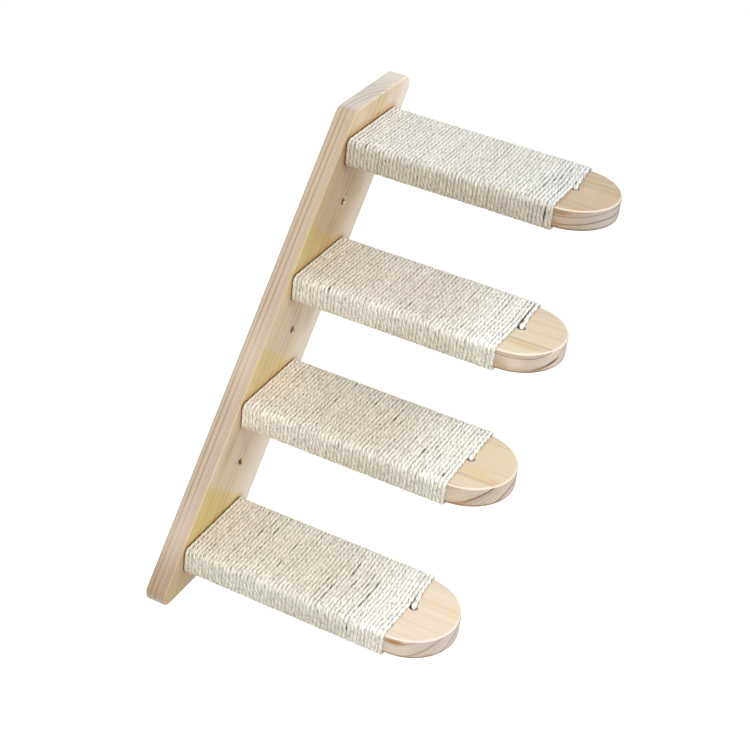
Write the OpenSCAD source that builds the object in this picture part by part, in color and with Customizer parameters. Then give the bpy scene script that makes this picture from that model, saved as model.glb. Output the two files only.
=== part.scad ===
// Wall-mounted cat stair: level wooden steps, wound with sisal rope, on a leaning back board.
//
// Frame: the wall is the plane y = 0 and the part stands out of it towards -Y. X runs along the wall,
// Z is up, and the board leans towards +X. The origin is the axis of the middle wall hole, at the wall.
// Steps are numbered from the top down.

/* [Back board] */
// Width of the board, square across its long edges
board_w = 88; // [86:1:120]
// Thickness of the board
board_t = 18; // [16:0.5:28]
// Lean of the board from upright, in degrees
lean = 39; // [20:1:48]
// Board above the middle of the top step
top_margin = 32.5; // [28:0.5:60]
// Board below the middle of the bottom step
bottom_margin = 32; // [28:0.5:60]
// Radius of the board's corners
board_corner_r = 10; // [4:0.5:12]
// Radius of the board's eased edges
board_edge_r = 2; // [0.5:0.25:3]

/* [Steps] */
// Height of the top step above the second
upper_rise = 93.5; // [70:0.5:140]
// Height of the second step above the third
middle_rise = 87; // [70:0.5:140]
// Height of the third step above the bottom one
lower_rise = 97.5; // [70:0.5:140]
// Width of a step along the wall
step_w = 82; // [74:1:100]
// Thickness of a step
step_t = 18; // [15:0.5:28]
// Bare wood from the end of the winding to the end of the tip
bare_tip = 36; // [30:1:70]
// Radius of a step's eased edges
step_edge_r = 2; // [0.5:0.25:3]

/* [Sisal rope] */
// Length of step that the rope covers, from the face of the back board
wrap_len = 187; // [120:1:260]
// Thickness of the rope
rope_d = 3.3; // [2.5:0.1:4]
// Diameter of the holes that hold the rope's ends
rope_hole_d = 6.5; // [6:0.5:8]
// Depth of the holes that hold the rope's ends
rope_hole_depth = 12; // [10:0.5:13]
// Length of rope that goes into a hole
rope_tail = 9; // [6:0.5:9.5]
// Bare step between the back board and the first turn
rope_start_gap = 0.8; // [0.5:0.1:3]

/* [Wall holes] */
// Diameter of the wall screw holes
wall_hole_d = 4.5; // [3.5:0.5:6.5]
// Diameter of the countersinks at the board's face
wall_sink_d = 9; // [7.5:0.5:12]

/* [Step fixings] */
// Diameter of the step screws
screw_d = 4; // [3:0.5:5]
// Diameter of the step screws' heads
screw_head_d = 8; // [6.5:0.5:10]
// Length of the step screws
screw_len = 45; // [35:1:60]
// Distance between the two screws of a step
screw_spacing = 52; // [46:1:60]
// Diameter of the dowels
dowel_d = 8; // [6:1:10]
// Length of the dowels
dowel_len = 30; // [25:1:40]
// Depth of a dowel in the back board
dowel_in_board = 12; // [8:0.5:13]
// Distance between the two dowels of a step
dowel_spacing = 22; // [20:1:26]

/* [Hidden] */

pine = "burlywood";
pale_pine = "navajowhite";
sisal = "ivory";
zinc = "silver";
beech = "peru";

// Clearance of a screw or dowel in its own hole, and of a screw's head in its countersink
fixing_clear = 0.05;
// Clearance of a step screw in the back board, which it only passes through
shank_clear = 0.25;
// A screw's head lies this far under the back face
head_sink = 0.3;
// Length of a screw's point
point_len = 6;
// A hole runs on past the end of the screw or dowel in it
hole_spare = 1;
// Chamfer on a dowel's ends
dowel_chamfer = 1;
// A cut runs past the face that it opens
over = 1;

// Heights of the steps' middles, and of the wall holes, which lie midway between steps
step_z = [middle_rise / 2 + upper_rise, middle_rise / 2,
          -middle_rise / 2, -middle_rise / 2 - lower_rise];
wall_hole_z = [for (i = [0:2]) (step_z[i] + step_z[i + 1]) / 2];
board_top = step_z[0] + top_margin;
board_bottom = step_z[3] - bottom_margin;
step_len = wrap_len + bare_tip;

// Place along the wall of the board's centre line at height z
function lean_x(z) = z * tan(lean);

// Puts its children on the board's centre line at height z
module at_height(z) {
    translate([lean_x(z), 0, z]) children();
}

// Turns a piece modelled along +Z so that it runs out of the wall, towards -Y
module out_of_wall() {
    rotate([90, 0, 0]) children();
}

// Rounded rectangle on the origin, w by h, with corners of radius r
module rounded_rectangle(w, h, r) {
    square([w - 2 * r, h], center = true);
    square([w, h - 2 * r], center = true);
    for (x = [-1, 1], y = [-1, 1])
        translate([x * (w / 2 - r), y * (h / 2 - r)]) circle(r = r);
}

/* The back board */

// Disc that fills one corner of the board, with both its rims eased
module board_corner() {
    out_of_wall()
        rotate_extrude($fn = 32)
            intersection() {
                translate([0, board_t / 2])
                    rounded_rectangle(2 * board_corner_r, board_t, board_edge_r, $fn = 16);
                square([board_corner_r, board_t]);
            }
}

// Solid board with level ends: the hull of its four rounded corners
module board_blank() {
    inset = (board_w / 2 - board_corner_r) / cos(lean);
    hull()
        for (z = [board_bottom + board_corner_r, board_top - board_corner_r], side = [-1, 1])
            translate([lean_x(z) + side * inset, 0, z]) board_corner();
}

// Through hole for a wall screw, countersunk in the board's face
module wall_hole() {
    sink = (wall_sink_d - wall_hole_d) / 2;
    out_of_wall() {
        translate([0, 0, -over]) cylinder(d = wall_hole_d, h = board_t + 2 * over, $fn = 48);
        translate([0, 0, board_t - sink])
            cylinder(d1 = wall_hole_d, d2 = wall_sink_d + 2 * over, h = sink + over, $fn = 48);
    }
}

// Holes in the board for one step: two for screws, countersunk behind, and two blind ones for dowels
module board_fixing_holes() {
    hole_d = screw_d + 2 * shank_clear;
    sink_d = screw_head_d + 2 * fixing_clear;
    out_of_wall() {
        for (x = [-1, 1] * screw_spacing / 2) translate([x, 0, 0]) {
            translate([0, 0, -over]) cylinder(d = hole_d, h = board_t + 2 * over, $fn = 32);
            translate([0, 0, -over]) cylinder(d = sink_d, h = over + head_sink, $fn = 48);
            translate([0, 0, head_sink])
                cylinder(d1 = sink_d, d2 = hole_d, h = (sink_d - hole_d) / 2, $fn = 48);
        }
        for (x = [-1, 1] * dowel_spacing / 2)
            translate([x, 0, board_t - dowel_in_board - hole_spare / 2])
                cylinder(d = dowel_d + 2 * fixing_clear, h = dowel_in_board + over, $fn = 48);
    }
}

module backboard() {
    color(pine)
        difference() {
            board_blank();
            for (z = wall_hole_z) at_height(z) wall_hole();
            for (z = step_z) at_height(z) board_fixing_holes();
        }
}

/* The steps */

// Solid step from the board's face to its half-round tip, with the same eased edge all the way round
module step_blank() {
    reach = step_len - step_w / 2;
    linear_extrude(reach) rounded_rectangle(step_w, step_t, step_edge_r, $fn = 32);
    translate([0, 0, reach])
        rotate([90, 0, 0])
            intersection() {
                rotate_extrude($fn = 96)
                    intersection() {
                        rounded_rectangle(step_w, step_t, step_edge_r, $fn = 32);
                        translate([0, -step_t / 2]) square([step_w / 2, step_t]);
                    }
                translate([-step_w / 2, 0, -step_t / 2]) cube([step_w, step_w / 2, step_t]);
            }
}

// Blind hole for a rope's end, drilled down from a step's top face
module rope_hole(distance) {
    translate([0, step_t / 2 + over, distance])
        rotate([90, 0, 0]) cylinder(d = rope_hole_d, h = rope_hole_depth + over, $fn = 48);
}

// Holes in a step's end for its screws and dowels
module step_fixing_holes() {
    screw_depth = screw_len + head_sink - board_t + hole_spare;
    dowel_depth = dowel_len - dowel_in_board + hole_spare / 2;
    for (x = [-1, 1] * screw_spacing / 2)
        translate([x, 0, -over])
            cylinder(d = screw_d + 2 * fixing_clear, h = screw_depth + over, $fn = 32);
    for (x = [-1, 1] * dowel_spacing / 2)
        translate([x, 0, -over])
            cylinder(d = dowel_d + 2 * fixing_clear, h = dowel_depth + over, $fn = 48);
}

// One step, with the hole for the rope's first end below and the hole for its last end above
module step_board(z) {
    color(pale_pine)
        at_height(z) translate([0, -board_t, 0]) out_of_wall()
            difference() {
                step_blank();
                step_fixing_holes();
                rope_hole(last_hole);
                rotate([0, 0, 180]) rope_hole(first_hole);
            }
}

/* The sisal windings */

// Space between the rope and the wood under it
rope_seat = 0.2;
// Space between neighbouring turns
turn_gap = 0.5;
// Turns of the winding, from the hole below to the hole above: a whole number and a half
turns = 22.5;
// Width of the rope where it runs to and into its holes
tail_w = 1.2 * rope_d;
// Run of the bend by which the rope turns into a hole
tail_bend = 2.2;
// Rings in one turn: two at each corner of the step
turn_rings = 8;
// Sides of the rope's section
rope_sides = 6;

// The rope comes out of its first hole beside the board, and its last hole lies under its last strand
first_hole = rope_hole_d / 2 + rope_start_gap + 1;
last_hole = wrap_len - tail_w / 2;

// The near edge of the rope moves on by one pitch a turn, and the rope nearly fills the pitch
pitch = (wrap_len - rope_start_gap - tail_w) / turns;
strand_w = pitch - turn_gap;

// The rope's centre line goes round the step on an octagon that clears the eased edges
bend_r = step_edge_r + rope_seat + rope_d / 2;
half_w = step_w / 2 + rope_seat + rope_d / 2;
half_t = step_t / 2 + rope_seat + rope_d / 2;
flat_w = step_w / 2 - step_edge_r + bend_r * tan(22.5);
flat_t = step_t / 2 - step_edge_r + bend_r * tan(22.5);
chord = 2 * bend_r * tan(22.5);

// The octagon's corners in the order of the winding, from below the step round by its far side
octagon = [[flat_w, -half_t], [half_w, -flat_t], [half_w, flat_t], [flat_w, half_t],
           [-flat_w, half_t], [-half_w, flat_t], [-half_w, -flat_t], [-flat_w, -half_t]];

// Length of rope from the middle below the step to each corner, and all the way round
corner_run = [flat_w, flat_w + chord, flat_w + chord + 2 * flat_t, flat_w + 2 * chord + 2 * flat_t];
turn_len = 4 * (flat_w + flat_t + chord);
function run_to(i) = let (k = i % turn_rings)
    floor(i / turn_rings) * turn_len + (k < 4 ? corner_run[k] : corner_run[k - 4] + turn_len / 2);

// Width of the rope at ring i: full, but narrow for the last half turn
ring_count = turns * turn_rings;
function ring_w(i) = i < ring_count - 4 ? strand_w : tail_w;

// A ring is [x, z, distance from the board, direction that its outer face looks in, width, stretch];
// a ring on a bend of 45 degrees is stretched to keep the rope's thickness
function turn_ring(i) =
    [octagon[i % turn_rings][0], octagon[i % turn_rings][1],
     rope_start_gap + pitch * run_to(i) / turn_len + ring_w(i) / 2,
     -67.5 + 45 * i, ring_w(i), 1 / cos(22.5)];

// A rope's end, at either hole: side is -1 below the step and 1 above it
function tail_rings(side, distance) =
    [[0, side * (step_t / 2 - rope_tail), distance, 180, tail_w, 1],
     [0, side * (half_t - tail_bend), distance, 180 - side * 22.5, tail_w, 1 / cos(22.5)],
     [tail_bend, side * half_t, distance, 180 - side * 67.5, tail_w, 1 / cos(22.5)]];
first_tail = tail_rings(-1, first_hole);
last_tail = tail_rings(1, last_hole);

rings = concat(first_tail, [for (i = [0:ring_count - 1]) turn_ring(i)],
               [last_tail[2], last_tail[1], last_tail[0]]);

// The points of a ring: a flattened hexagon, as wide as the ring says and as thick as the rope
function ring_points(r) = [for (k = [0:rope_sides - 1])
    let (a = 360 * k / rope_sides,
         across = r[4] / 2 * cos(a),
         out = rope_d / 2 * r[5] * sin(a) / sin(60))
    [r[0] + out * cos(r[3]), r[1] + out * sin(r[3]), r[2] + across]];
rope_points = [for (r = rings) each ring_points(r)];

// Two triangles for each side between neighbouring rings, and a fan on each end
rope_faces = concat(
    [for (i = [0:len(rings) - 2], k = [0:rope_sides - 1])
        let (a = i * rope_sides + k, b = i * rope_sides + (k + 1) % rope_sides)
        each [[a, a + rope_sides, b], [b, a + rope_sides, b + rope_sides]]],
    [for (k = [1:rope_sides - 2]) [0, k, k + 1]],
    [for (k = [1:rope_sides - 2]) let (e = (len(rings) - 1) * rope_sides) [e, e + k + 1, e + k]]);

// Least distance between the points of rings that lie a turn or so apart
function gap_between(i, j) = min([for (p = ring_points(rings[i]), q = ring_points(rings[j])) norm(p - q)]);
rope_gap = min([for (i = [0:len(rings) - 6], j = [i + 5:min(i + 14, len(rings) - 1)]) gap_between(i, j)]);
echo(rope_turns = turns, rope_pitch = pitch, rope_least_gap = rope_gap);

module sisal_winding(z) {
    color(sisal)
        at_height(z) translate([0, -board_t, 0]) out_of_wall()
            polyhedron(rope_points, rope_faces, convexity = 10);
}

/* The fixings */

// Countersunk wood screw, from its head at z = 0 to its point
module step_screw() {
    head_h = (screw_head_d - screw_d) / 2;
    rotate_extrude($fn = 32)
        polygon([[0, 0], [screw_head_d / 2, 0], [screw_d / 2, head_h],
                 [screw_d / 2, screw_len - point_len], [0, screw_len]]);
}

// Plain dowel with chamfered ends, from z = 0
module dowel() {
    r = dowel_d / 2;
    rotate_extrude($fn = 32)
        polygon([[0, 0], [r - dowel_chamfer, 0], [r, dowel_chamfer], [r, dowel_len - dowel_chamfer],
                 [r - dowel_chamfer, dowel_len], [0, dowel_len]]);
}

module step_screws() {
    color(zinc)
        for (z = step_z, x = [-1, 1] * screw_spacing / 2)
            at_height(z) out_of_wall() translate([x, 0, head_sink]) step_screw();
}

module step_dowels() {
    color(beech)
        for (z = step_z, x = [-1, 1] * dowel_spacing / 2)
            at_height(z) out_of_wall() translate([x, 0, board_t - dowel_in_board]) dowel();
}

backboard();
step_board(step_z[0]);  // step_board_1
step_board(step_z[1]);  // step_board_2
step_board(step_z[2]);  // step_board_3
step_board(step_z[3]);  // step_board_4
sisal_winding(step_z[0]);  // sisal_winding_1
sisal_winding(step_z[1]);  // sisal_winding_2
sisal_winding(step_z[2]);  // sisal_winding_3
sisal_winding(step_z[3]);  // sisal_winding_4
step_screws();
step_dowels();
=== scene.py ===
import math

import bpy
import numpy as np
from mathutils import Matrix, Vector


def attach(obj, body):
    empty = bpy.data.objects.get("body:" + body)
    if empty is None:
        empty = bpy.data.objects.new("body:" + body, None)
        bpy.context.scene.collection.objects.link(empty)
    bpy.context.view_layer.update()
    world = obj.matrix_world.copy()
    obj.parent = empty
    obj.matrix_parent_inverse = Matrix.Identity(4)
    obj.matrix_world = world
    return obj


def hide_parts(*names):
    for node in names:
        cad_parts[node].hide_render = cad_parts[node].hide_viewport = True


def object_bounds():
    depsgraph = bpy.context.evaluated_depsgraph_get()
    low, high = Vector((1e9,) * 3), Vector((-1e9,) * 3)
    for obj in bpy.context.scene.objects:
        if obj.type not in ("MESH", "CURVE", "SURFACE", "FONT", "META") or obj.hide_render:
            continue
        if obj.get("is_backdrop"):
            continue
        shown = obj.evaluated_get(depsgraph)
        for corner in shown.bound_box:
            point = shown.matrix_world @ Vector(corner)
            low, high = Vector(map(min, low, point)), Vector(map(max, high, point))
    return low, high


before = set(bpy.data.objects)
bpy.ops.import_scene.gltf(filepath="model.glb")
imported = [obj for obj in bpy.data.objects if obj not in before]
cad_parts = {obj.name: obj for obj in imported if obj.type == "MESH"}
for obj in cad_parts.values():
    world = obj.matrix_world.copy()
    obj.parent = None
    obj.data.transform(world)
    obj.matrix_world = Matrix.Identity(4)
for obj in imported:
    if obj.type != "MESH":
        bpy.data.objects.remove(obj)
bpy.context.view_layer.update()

# Camera: the eye of the photograph, out in front of the wall, left of the steps and above them.
# Its place and its tilt were solved from the object's corners, and its frame is square.


def placed(name, data):
    """A new object in the scene that shows the data, at the origin and unturned."""
    thing = bpy.data.objects.new(name, data)
    bpy.context.scene.collection.objects.link(thing)
    return thing


eye = (-1.03503, -0.54205, 0.71663)
sight = Vector((0.77055, 0.3313, -0.54451)).normalized()
picture_right = Vector((0.45247, -0.88601, 0.10123))
picture_up = picture_right.cross(sight).normalized()
stand = Matrix((sight.cross(picture_up), picture_up, -sight)).transposed().to_4x4()
stand.translation = eye
camera = placed("camera", bpy.data.cameras.new("camera"))
camera.data.sensor_width, camera.data.lens = 36, 78.26
camera.matrix_world = stand
bpy.context.scene.camera = camera
bpy.context.scene.view_settings.view_transform = "Standard"

# Floor: a pale studio floor far below the steps, so that their shadow lies low and soft.
# It shows white to the camera, with the steps' shadow only just in it.
floor_drop, floor_half = -0.62, 5
corners = [(x * floor_half, y * floor_half, floor_drop) for x, y in ((-1, -1), (1, -1), (1, 1), (-1, 1))]
floor_mesh = bpy.data.meshes.new("floor")
floor_mesh.from_pydata(corners, [], [(0, 1, 2, 3)])
floor = placed("floor", floor_mesh)
floor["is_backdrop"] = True


def linear(code):
    """A linear colour with alpha from an sRGB hex code: below 0.04 a twelfth, above it a power of 2.4."""
    parts = [int(code[i:i + 2], 16) / 255 for i in (1, 3, 5)]
    return [c / 12.92 if c < 0.04045 else ((c + 0.055) / 1.055) ** 2.4 for c in parts] + [1.0]


def add(tree, kind, inputs, out=0, **settings):
    """Adds a shader node of that kind with its settings, sets or links its inputs by name or number, and gives
    one of its outputs."""
    node = tree.nodes.new("ShaderNode" + kind)
    for name, value in settings.items():
        setattr(node, name, value)
    for key, value in inputs.items():
        if isinstance(value, bpy.types.NodeSocket):
            tree.links.new(value, node.inputs[key])
        else:
            node.inputs[key].default_value = value
    return node.outputs[out]


def new_material(name):
    """A material made of nodes, its node tree and its shader."""
    material = bpy.data.materials.new(name)
    material.use_nodes = True
    return material, material.node_tree, material.node_tree.nodes["Principled BSDF"]


# Matt white paper, with no gloss, and a glow on it that only the camera sees
paper, tree, shader = new_material("matt_white_paper")
tree.nodes.remove(shader)
lit = add(tree, "BsdfDiffuse", {"Color": linear("#ECECEB")})
seen = add(tree, "LightPath", {}, out="Is Camera Ray")
glow = add(tree, "Math", {0: seen, 1: 0.6}, operation="MULTIPLY")
glow = add(tree, "Emission", {"Color": (1, 1, 1, 1), "Strength": glow})
tree.links.new(add(tree, "AddShader", {0: lit, 1: glow}), tree.nodes["Material Output"].inputs["Surface"])
floor_mesh.materials.append(paper)

# Light: an even white room, a wide soft lamp overhead, one high on the left that brightens the near edges,
# and a weaker one low in front, on the side that the board leans to.
world = bpy.data.worlds.new("white_room")
bpy.context.scene.world = world
world.use_nodes = True
tree = world.node_tree
ray = add(tree, "LightPath", {}).node
straight = 0
for kind in ("Camera", "Glossy", "Transmission"):
    straight = add(tree, "Math", {0: straight, 1: ray.outputs[f"Is {kind} Ray"]}, operation="MAXIMUM")
room_light = 0.47
strength = add(tree, "MapRange", {"Value": straight, "To Min": room_light, "To Max": 1})
tree.links.new(strength, tree.nodes["Background"].inputs["Strength"])
tree.nodes["Background"].inputs["Color"].default_value = (1, 1, 1, 1)
steps_middle = Vector((0, -0.12, 0))


def lamp(name, place, size, power):
    """A square lamp of that size in metres and power in watts, facing the middle of the steps."""
    light = bpy.data.lights.new(name, "AREA")
    light.shape, light.size, light.energy = "SQUARE", size, power
    holder = placed(name, light)
    holder.location = place
    holder.rotation_euler = (steps_middle - holder.location).to_track_quat("-Z", "Y").to_euler()


lamp("overhead_lamp", (-0.25, -0.6, 1.5), 1.0, 11)
lamp("left_lamp", (-1.35, -0.6, 0.62), 0.9, 11.5)
lamp("front_lamp", (0.6, -1.6, 0.25), 0.9, 5.4)

# Back board: one planed pine board, 18 mm thick, that leans along the wall. Its corners and edges
# are rounded over, three countersunk holes take the wall screws, and it is sealed with satin varnish.
lean, board_t = math.radians(39), 18
# The steps' heights, half the width and thickness of a step, the radius of its eased edges, and half of what lies
# between them, in mm
step_z = [137, 43.5, -43.5, -141]
half_w, half_t, edge_r = 41, 9, 2
flat, upright = half_w - edge_r, half_t - edge_r


def pine(name, axes, pith, rings, tones, ends, on_faces):
    """Planed pine under a satin varnish, as a solid pattern. axes are the directions across, through and along
    the grain, and pith is a point of the tree's middle line, in mm. Growth rings are tubes about that line:
    rings lists each dark latewood edge as (radius, strength, width) in mm, rising slowly and ending sharply, and
    on_faces is the share of their strength on the two broad faces. tones are two of the earlywood, which lie in
    long clouds, and one of the latewood. A slow noise makes the tubes wander, a fine one breaks them into fibres,
    and faces that cut across the grain turn to ends, the greyer tones of end wood between and on the rings."""
    material, tree, shader = new_material(name)
    place = add(tree, "TexCoord", {}, out="Object")
    place.node.name = "place"
    turn = Matrix(axes)
    log = add(tree, "Mapping",
              {"Vector": place, "Rotation": turn.to_euler(), "Location": -(turn @ Vector(pith)) / 1000})
    # The rings wander by about 1 mm over 70 mm of the section and 400 mm of length
    slow = add(tree, "VectorMath", {0: log, 1: (1, 1, 0.17)}, operation="MULTIPLY")
    slow = add(tree, "TexNoise", {"Vector": slow, "Scale": 15, "Detail": 2}, out="Color")
    slow = add(tree, "VectorMath", {0: slow, 1: (0.5, 0.5, 0.5)}, operation="SUBTRACT")
    slow = add(tree, "VectorMath", {0: slow, 1: (0.006, 0.006, 0)}, operation="MULTIPLY")
    bent = add(tree, "VectorMath", {0: log, 1: slow}, operation="ADD")
    # Fibres about 0.9 mm wide and 40 mm long, which is as fine as the picture shows them. They fray each dark
    # edge, which itself ends within a quarter of a millimetre.
    fray, sharp = 0.9, 0.25
    drawn = add(tree, "VectorMath", {0: bent, 1: (1, 1, 0.022)}, operation="MULTIPLY")
    fibre = add(tree, "TexNoise", {"Vector": drawn, "Scale": 1100, "Detail": 2, "Roughness": 0.6})
    fibre.node.name = "fibre"
    section = add(tree, "VectorMath", {0: bent, 1: (1, 1, 0)}, operation="MULTIPLY")
    radius = add(tree, "VectorMath", {0: section}, out="Value", operation="LENGTH")
    frayed = add(tree, "Math", {0: fibre, 1: fray / 1000, 2: radius}, operation="MULTIPLY_ADD")
    inner, outer = rings[0][0] - 8, rings[-1][0] + 4
    span = add(tree, "MapRange",
               {"Value": frayed, "From Min": (inner + fray / 2) / 1000, "From Max": (outer + fray / 2) / 1000})
    ring = add(tree, "ValToRGB", {"Fac": span}, out="Color")
    ramp = ring.node.color_ramp
    ramp.elements[0].color = ramp.elements[1].color = (0, 0, 0, 1)
    for at, dark, width in rings:
        for edge, value in ((at - width, 0), (at, dark), (at + sharp, 0)):
            ramp.elements.new((edge - inner) / (outer - inner)).color = (value, value, value, 1)
    # End wood, where the face looks along the grain, and the broad faces, where it looks through it
    aslant, square_on = 0.3, 0.85
    normal = add(tree, "NewGeometry", {}, out="Normal")
    facing = add(tree, "VectorMath", {0: normal, 1: axes[2]}, out="Value", operation="DOT_PRODUCT")
    facing = add(tree, "Math", {0: facing}, operation="ABSOLUTE")
    cut = add(tree, "MapRange", {"Value": facing, "From Min": aslant, "From Max": square_on},
              interpolation_type="SMOOTHSTEP")
    broad = add(tree, "VectorMath", {0: normal, 1: axes[1]}, out="Value", operation="DOT_PRODUCT")
    broad = add(tree, "Math", {0: broad}, operation="ABSOLUTE")
    share = add(tree, "MapRange",
                {"Value": broad, "From Min": aslant, "From Max": square_on, "To Min": 1, "To Max": on_faces})
    latewood = add(tree, "Math", {0: ring, 1: share}, operation="MULTIPLY")
    # Clouds 25 mm wide and 200 mm long, and faint lines between the rings, 1 to 3 mm apart
    cloud = add(tree, "VectorMath", {0: bent, 1: (1, 1, 0.12)}, operation="MULTIPLY")
    cloud = add(tree, "TexNoise", {"Vector": cloud, "Scale": 40, "Detail": 2})
    cloud = add(tree, "MapRange", {"Value": cloud, "From Min": 0.38, "From Max": 0.62})
    thin = add(tree, "TexNoise", {"W": radius, "Scale": 520, "Detail": 3}, noise_dimensions="1D")
    tone = add(tree, "Mix", {0: cloud, 6: linear(tones[0]), 7: linear(tones[1])}, out=2, data_type="RGBA")
    tone = add(tree, "Mix", {0: latewood, 6: tone, 7: linear(tones[2])}, out=2, data_type="RGBA")
    streak = add(tree, "Math", {0: fibre, 1: 0.22, 2: 0.89}, operation="MULTIPLY_ADD")
    streak = add(tree, "Math", {0: thin, 1: 0.16, 2: streak}, operation="MULTIPLY_ADD")
    streak = add(tree, "Math", {0: streak, 1: 0.08}, operation="SUBTRACT")
    tone = add(tree, "VectorMath", {0: tone, "Scale": streak}, operation="SCALE")
    # Cut fibres speckle the end wood, 0.8 mm across
    speck = add(tree, "TexNoise", {"Vector": log, "Scale": 1300, "Detail": 2})
    speck = add(tree, "Math", {0: speck, 1: 0.8, 2: 0.6}, operation="MULTIPLY_ADD")
    raw = add(tree, "Mix", {0: latewood, 6: linear(ends[0]), 7: linear(ends[1])}, out=2, data_type="RGBA")
    raw = add(tree, "VectorMath", {0: raw, "Scale": speck}, operation="SCALE")
    tone = add(tree, "Mix", {0: cut, 6: tone, 7: raw}, out=2, data_type="RGBA")
    tree.links.new(tone, shader.inputs["Base Color"])
    shader.inputs["IOR"].default_value = 1.5
    tree.links.new(add(tree, "Math", {0: fibre, 1: 0.12, 2: 0.42}, operation="MULTIPLY_ADD"),
                   shader.inputs["Roughness"])
    relief = add(tree, "Math", {0: latewood, 1: 0.8, 2: fibre}, operation="MULTIPLY_ADD")
    tree.links.new(add(tree, "Bump", {"Strength": 0.25, "Distance": 0.0002, "Height": relief}),
                   shader.inputs["Normal"])
    return material


def tint(material, mask, code, blend="MIX", span=None, strength=1.0):
    """Lays a colour over a material's own colour, as far as the mask says. With a span the mask is a value that
    goes from one end of the span, where there is none of the colour, to the other, where it has its strength."""
    tree, shader = material.node_tree, material.node_tree.nodes["Principled BSDF"]
    if span:
        mask = add(tree, "MapRange", {"Value": mask, "From Min": span[0], "From Max": span[1], "To Max": strength})
    under = shader.inputs["Base Color"].links[0].from_socket
    over = add(tree, "Mix", {0: mask, 6: under, 7: linear(code)}, out=2, data_type="RGBA", blend_type=blend)
    tree.links.new(over, shader.inputs["Base Color"])


def patch(material, middle, half, turn, code, strength, soft=0.6):
    """An oval of another colour in the wood, frayed along the fibres: its middle and half sizes in mm, and its
    turn about the Y axis. It fades in from rim times its half sizes to rim - soft times."""
    rim = 1.25
    tree = material.node_tree
    local = add(tree, "Mapping",
                {"Vector": tree.nodes["place"].outputs["Object"], "Location": Vector(middle) / 1000,
                 "Rotation": (0, turn, 0), "Scale": Vector(half) / 1000}, vector_type="TEXTURE")
    reach = add(tree, "VectorMath", {0: local}, out="Value", operation="LENGTH")
    reach = add(tree, "Math", {0: tree.nodes["fibre"].outputs[0], 1: 0.5, 2: reach}, operation="MULTIPLY_ADD")
    tint(material, reach, code, "MIX", (rim, rim - soft), strength)


def smooth_piece(name, mesh, material, slot, *nodes):
    """A piece that shows the mesh, shaded smooth, and stands for the CAD nodes."""
    mesh.shade_smooth()
    mesh.materials.append(material)
    piece = placed(name, mesh)
    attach(piece, "root")
    if nodes:
        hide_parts(*nodes)
    return piece


def merged_copy(node, name, material, slot):
    """A piece in the exact shape of a CAD node: its loose triangles share their corners, its eased edges are
    shaded smooth, and its edges over 30 degrees stay sharp."""
    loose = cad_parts[node].data
    corners = np.empty(len(loose.vertices) * 3, np.float32)
    loose.vertices.foreach_get("co", corners)
    faces = np.empty(len(loose.loops), np.int32)
    loose.loops.foreach_get("vertex_index", faces)
    corners, index = np.unique(np.round(corners.reshape(-1, 3), 7), axis=0, return_inverse=True)
    faces = index.ravel()[faces].reshape(-1, 3)
    whole = (faces[:, 0] != faces[:, 1]) & (faces[:, 1] != faces[:, 2]) & (faces[:, 2] != faces[:, 0])
    mesh = bpy.data.meshes.new(name)
    mesh.from_pydata(corners.tolist(), [], faces[whole].tolist())
    piece = smooth_piece(name, mesh, material, slot, node)
    mesh.set_sharp_from_angle(angle=math.radians(30))
    piece.modifiers.new("even_normals", "WEIGHTED_NORMAL").keep_sharp = True


across = (math.cos(lean), 0, -math.sin(lean))
along = (math.sin(lean), 0, math.cos(lean))
# The tree's middle lies 56 mm in front of the board and near its left edge, so the near edge shows ring lines,
# which run on over the top end, and the face shows broad flat grain
board_pine = pine("pine_board_planed_varnished", (across, (0, 1, 0), along),
                  Vector(across) * -40 + Vector((0, -74, 0)),
                  [(57.6, 0.45, 1.6), (60, 0.3, 1), (65, 0.65, 1.5), (69.3, 0.8, 1.3), (74, 0.25, 1.5),
                   (80.6, 0.4, 2), (86, 0.35, 2), (91, 0.4, 2.2), (97, 0.3, 2.5), (105.5, 0.6, 2.2)],
                  ("#D7C4A0", "#D9C1A8", "#A27345"), ("#DCD4C7", "#988575"), 0.45)
tree = board_pine.node_tree
place = tree.nodes["place"].outputs["Object"]
side = add(tree, "VectorMath", {0: place, 1: across}, out="Value", operation="DOT_PRODUCT")
up = add(tree, "VectorMath", {0: place, 1: along}, out="Value", operation="DOT_PRODUCT")
facing = add(tree, "NewGeometry", {}, out="Normal")
in_front = add(tree, "SeparateXYZ", {0: facing}, out="Y")
in_front = add(tree, "MapRange", {"Value": in_front, "From Min": -0.6, "From Max": -0.95})
painted_edge_shade = add(tree, "VectorMath", {0: facing, 1: across}, out="Value", operation="DOT_PRODUCT")
painted_edge_shade = add(tree, "Math", {0: painted_edge_shade}, operation="ABSOLUTE")
# Painted shade: the sawn edges, which face sideways, are greyer and darker than the face
tint(board_pine, painted_edge_shade, "#E4E5EE", "MULTIPLY", (0.5, 0.9))
# Painted light: the board is paler towards its right edge, where more light falls. It is also darker towards the
# lower end
tint(board_pine, side, "#F3E8D7", "MIX", (0, 0.034), 0.85)
tint(board_pine, up, "#E6DCCB", "MULTIPLY", (-0.19, -0.222))
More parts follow.
